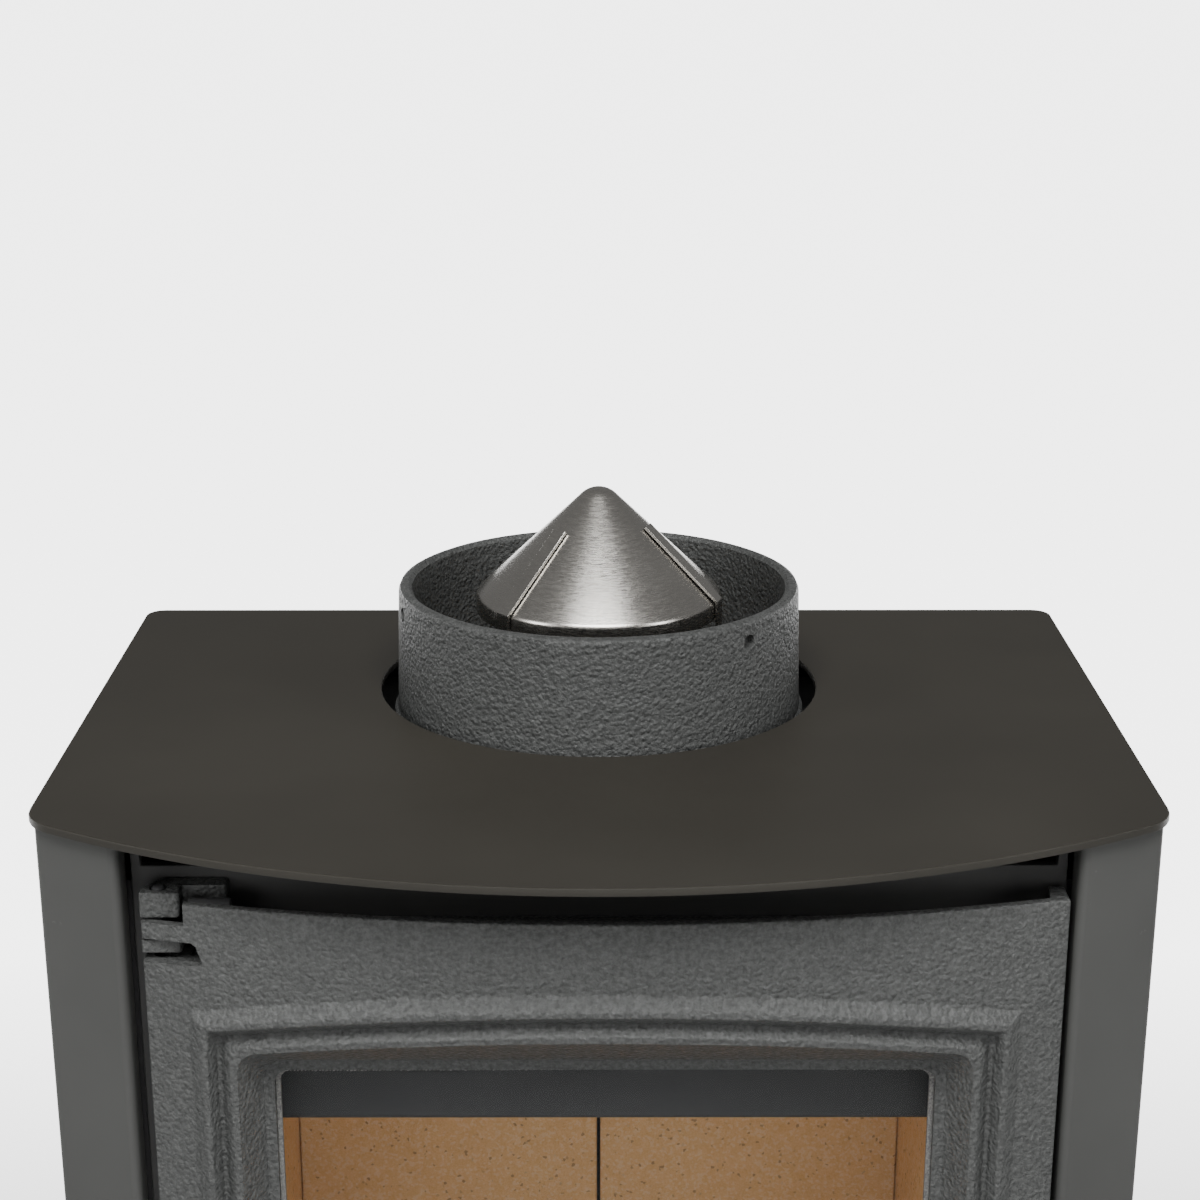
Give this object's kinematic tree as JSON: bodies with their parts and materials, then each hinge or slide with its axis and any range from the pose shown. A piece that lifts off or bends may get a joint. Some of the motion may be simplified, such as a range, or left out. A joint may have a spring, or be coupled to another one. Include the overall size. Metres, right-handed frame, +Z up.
{
  "type": "wood burning stove",
  "caption": "Compact bow-fronted wood burning stove with a glazed cast door, a round flue spigot holding a small cowl, an ash drawer and a log store.",
  "frame": {"origin": "on the floor, in the middle of the top plate's outline", "axes": "+Z up, -Y towards the door and its user, +X to the right of someone facing the door"},
  "size_m": [0.3766, 0.2904, 0.927],
  "materials": {
    "plate_steel": "satin heat-resistant paint on flat plate",
    "panel_steel": "satin heat-resistant paint on folded sheet",
    "cast_iron": "painted, with a fine sand-cast texture",
    "firebox_steel": "dull painted steel",
    "stainless": "brushed",
    "vermiculite": "matt pressed board",
    "rope": "woven glass-fibre rope and tape",
    "glass": "clear, polished"
  },
  "bodies": {
    "stove": {"top_plate": "plate_steel", "base_plate": "plate_steel", "side_panel_left": "panel_steel", "side_panel_right": "panel_steel", "rear_shield": "panel_steel", "log_store_liner": "panel_steel", "log_store_shelf": "panel_steel", "front_frame": "panel_steel", "control_fascia": "panel_steel", "flue_collar": "cast_iron", "grate": "cast_iron", "upper_hinge_outer_finger": "cast_iron", "upper_hinge_inner_finger": "cast_iron", "lower_hinge_outer_finger": "cast_iron", "lower_hinge_inner_finger": "cast_iron", "upper_hinge_pin": "firebox_steel", "lower_hinge_pin": "firebox_steel", "levelling_foot_front_left": "firebox_steel", "levelling_foot_front_right": "firebox_steel", "levelling_foot_rear_left": "firebox_steel", "levelling_foot_rear_right": "firebox_steel", "firebox_shell": "firebox_steel", "log_guard": "firebox_steel", "air_deflector": "firebox_steel", "air_box": "firebox_steel", "support_channel_left": "firebox_steel", "support_channel_right": "firebox_steel", "catch_plate": "firebox_steel", "flue_cone": "stainless", "cone_strap_left": "stainless", "cone_strap_right": "stainless", "cone_strap_rear": "stainless", "side_board_left": "vermiculite", "side_board_right": "vermiculite", "rear_board_left": "vermiculite", "rear_board_right": "vermiculite", "base_board": "vermiculite", "baffle_board": "vermiculite"},
    "door": {"door_frame": "cast_iron", "door_glass": "glass", "glass_gasket": "rope", "door_rope_seal": "rope", "glass_clip_lower_left": "firebox_steel", "glass_clip_lower_right": "firebox_steel", "glass_clip_upper_left": "firebox_steel", "glass_clip_upper_right": "firebox_steel", "closing_spring_leg": "firebox_steel", "handle_washer": "cast_iron"},
    "handle": {"door_handle": "stainless", "handle_spindle": "stainless", "latch_cam": "firebox_steel"},
    "ash_drawer": {"ash_drawer_front": "cast_iron", "ash_pan": "firebox_steel", "ash_drawer_knob": "stainless"},
    "primary_air": {"primary_air_slide": "firebox_steel", "primary_air_knob": "stainless"},
    "secondary_air": {"secondary_air_slide": "firebox_steel", "secondary_air_knob": "stainless"}
  },
  "joints": [
    {"name": "door_swing", "type": "hinge", "parent": "stove", "child": "door", "pos_m": [-0.144, -0.0961, 0.617], "axis": [0, 0, -1], "range_deg": [0, 95]},
    {"name": "handle_turn", "type": "hinge", "parent": "door", "child": "handle", "pos_m": [0.1455, -0.11, 0.62], "axis": [0, -1, 0], "range_deg": [0, 75]},
    {"name": "ash_drawer_slide", "type": "slide", "parent": "stove", "child": "ash_drawer", "axis": [0, -1, 0], "range_m": [0, 0.15]},
    {"name": "primary_air_slide_x", "type": "slide", "parent": "stove", "child": "primary_air", "axis": [1, 0, 0], "range_m": [0, 0.035]},
    {"name": "secondary_air_slide_x", "type": "slide", "parent": "stove", "child": "secondary_air", "axis": [1, 0, 0], "range_m": [0, 0.035]}
  ]
}
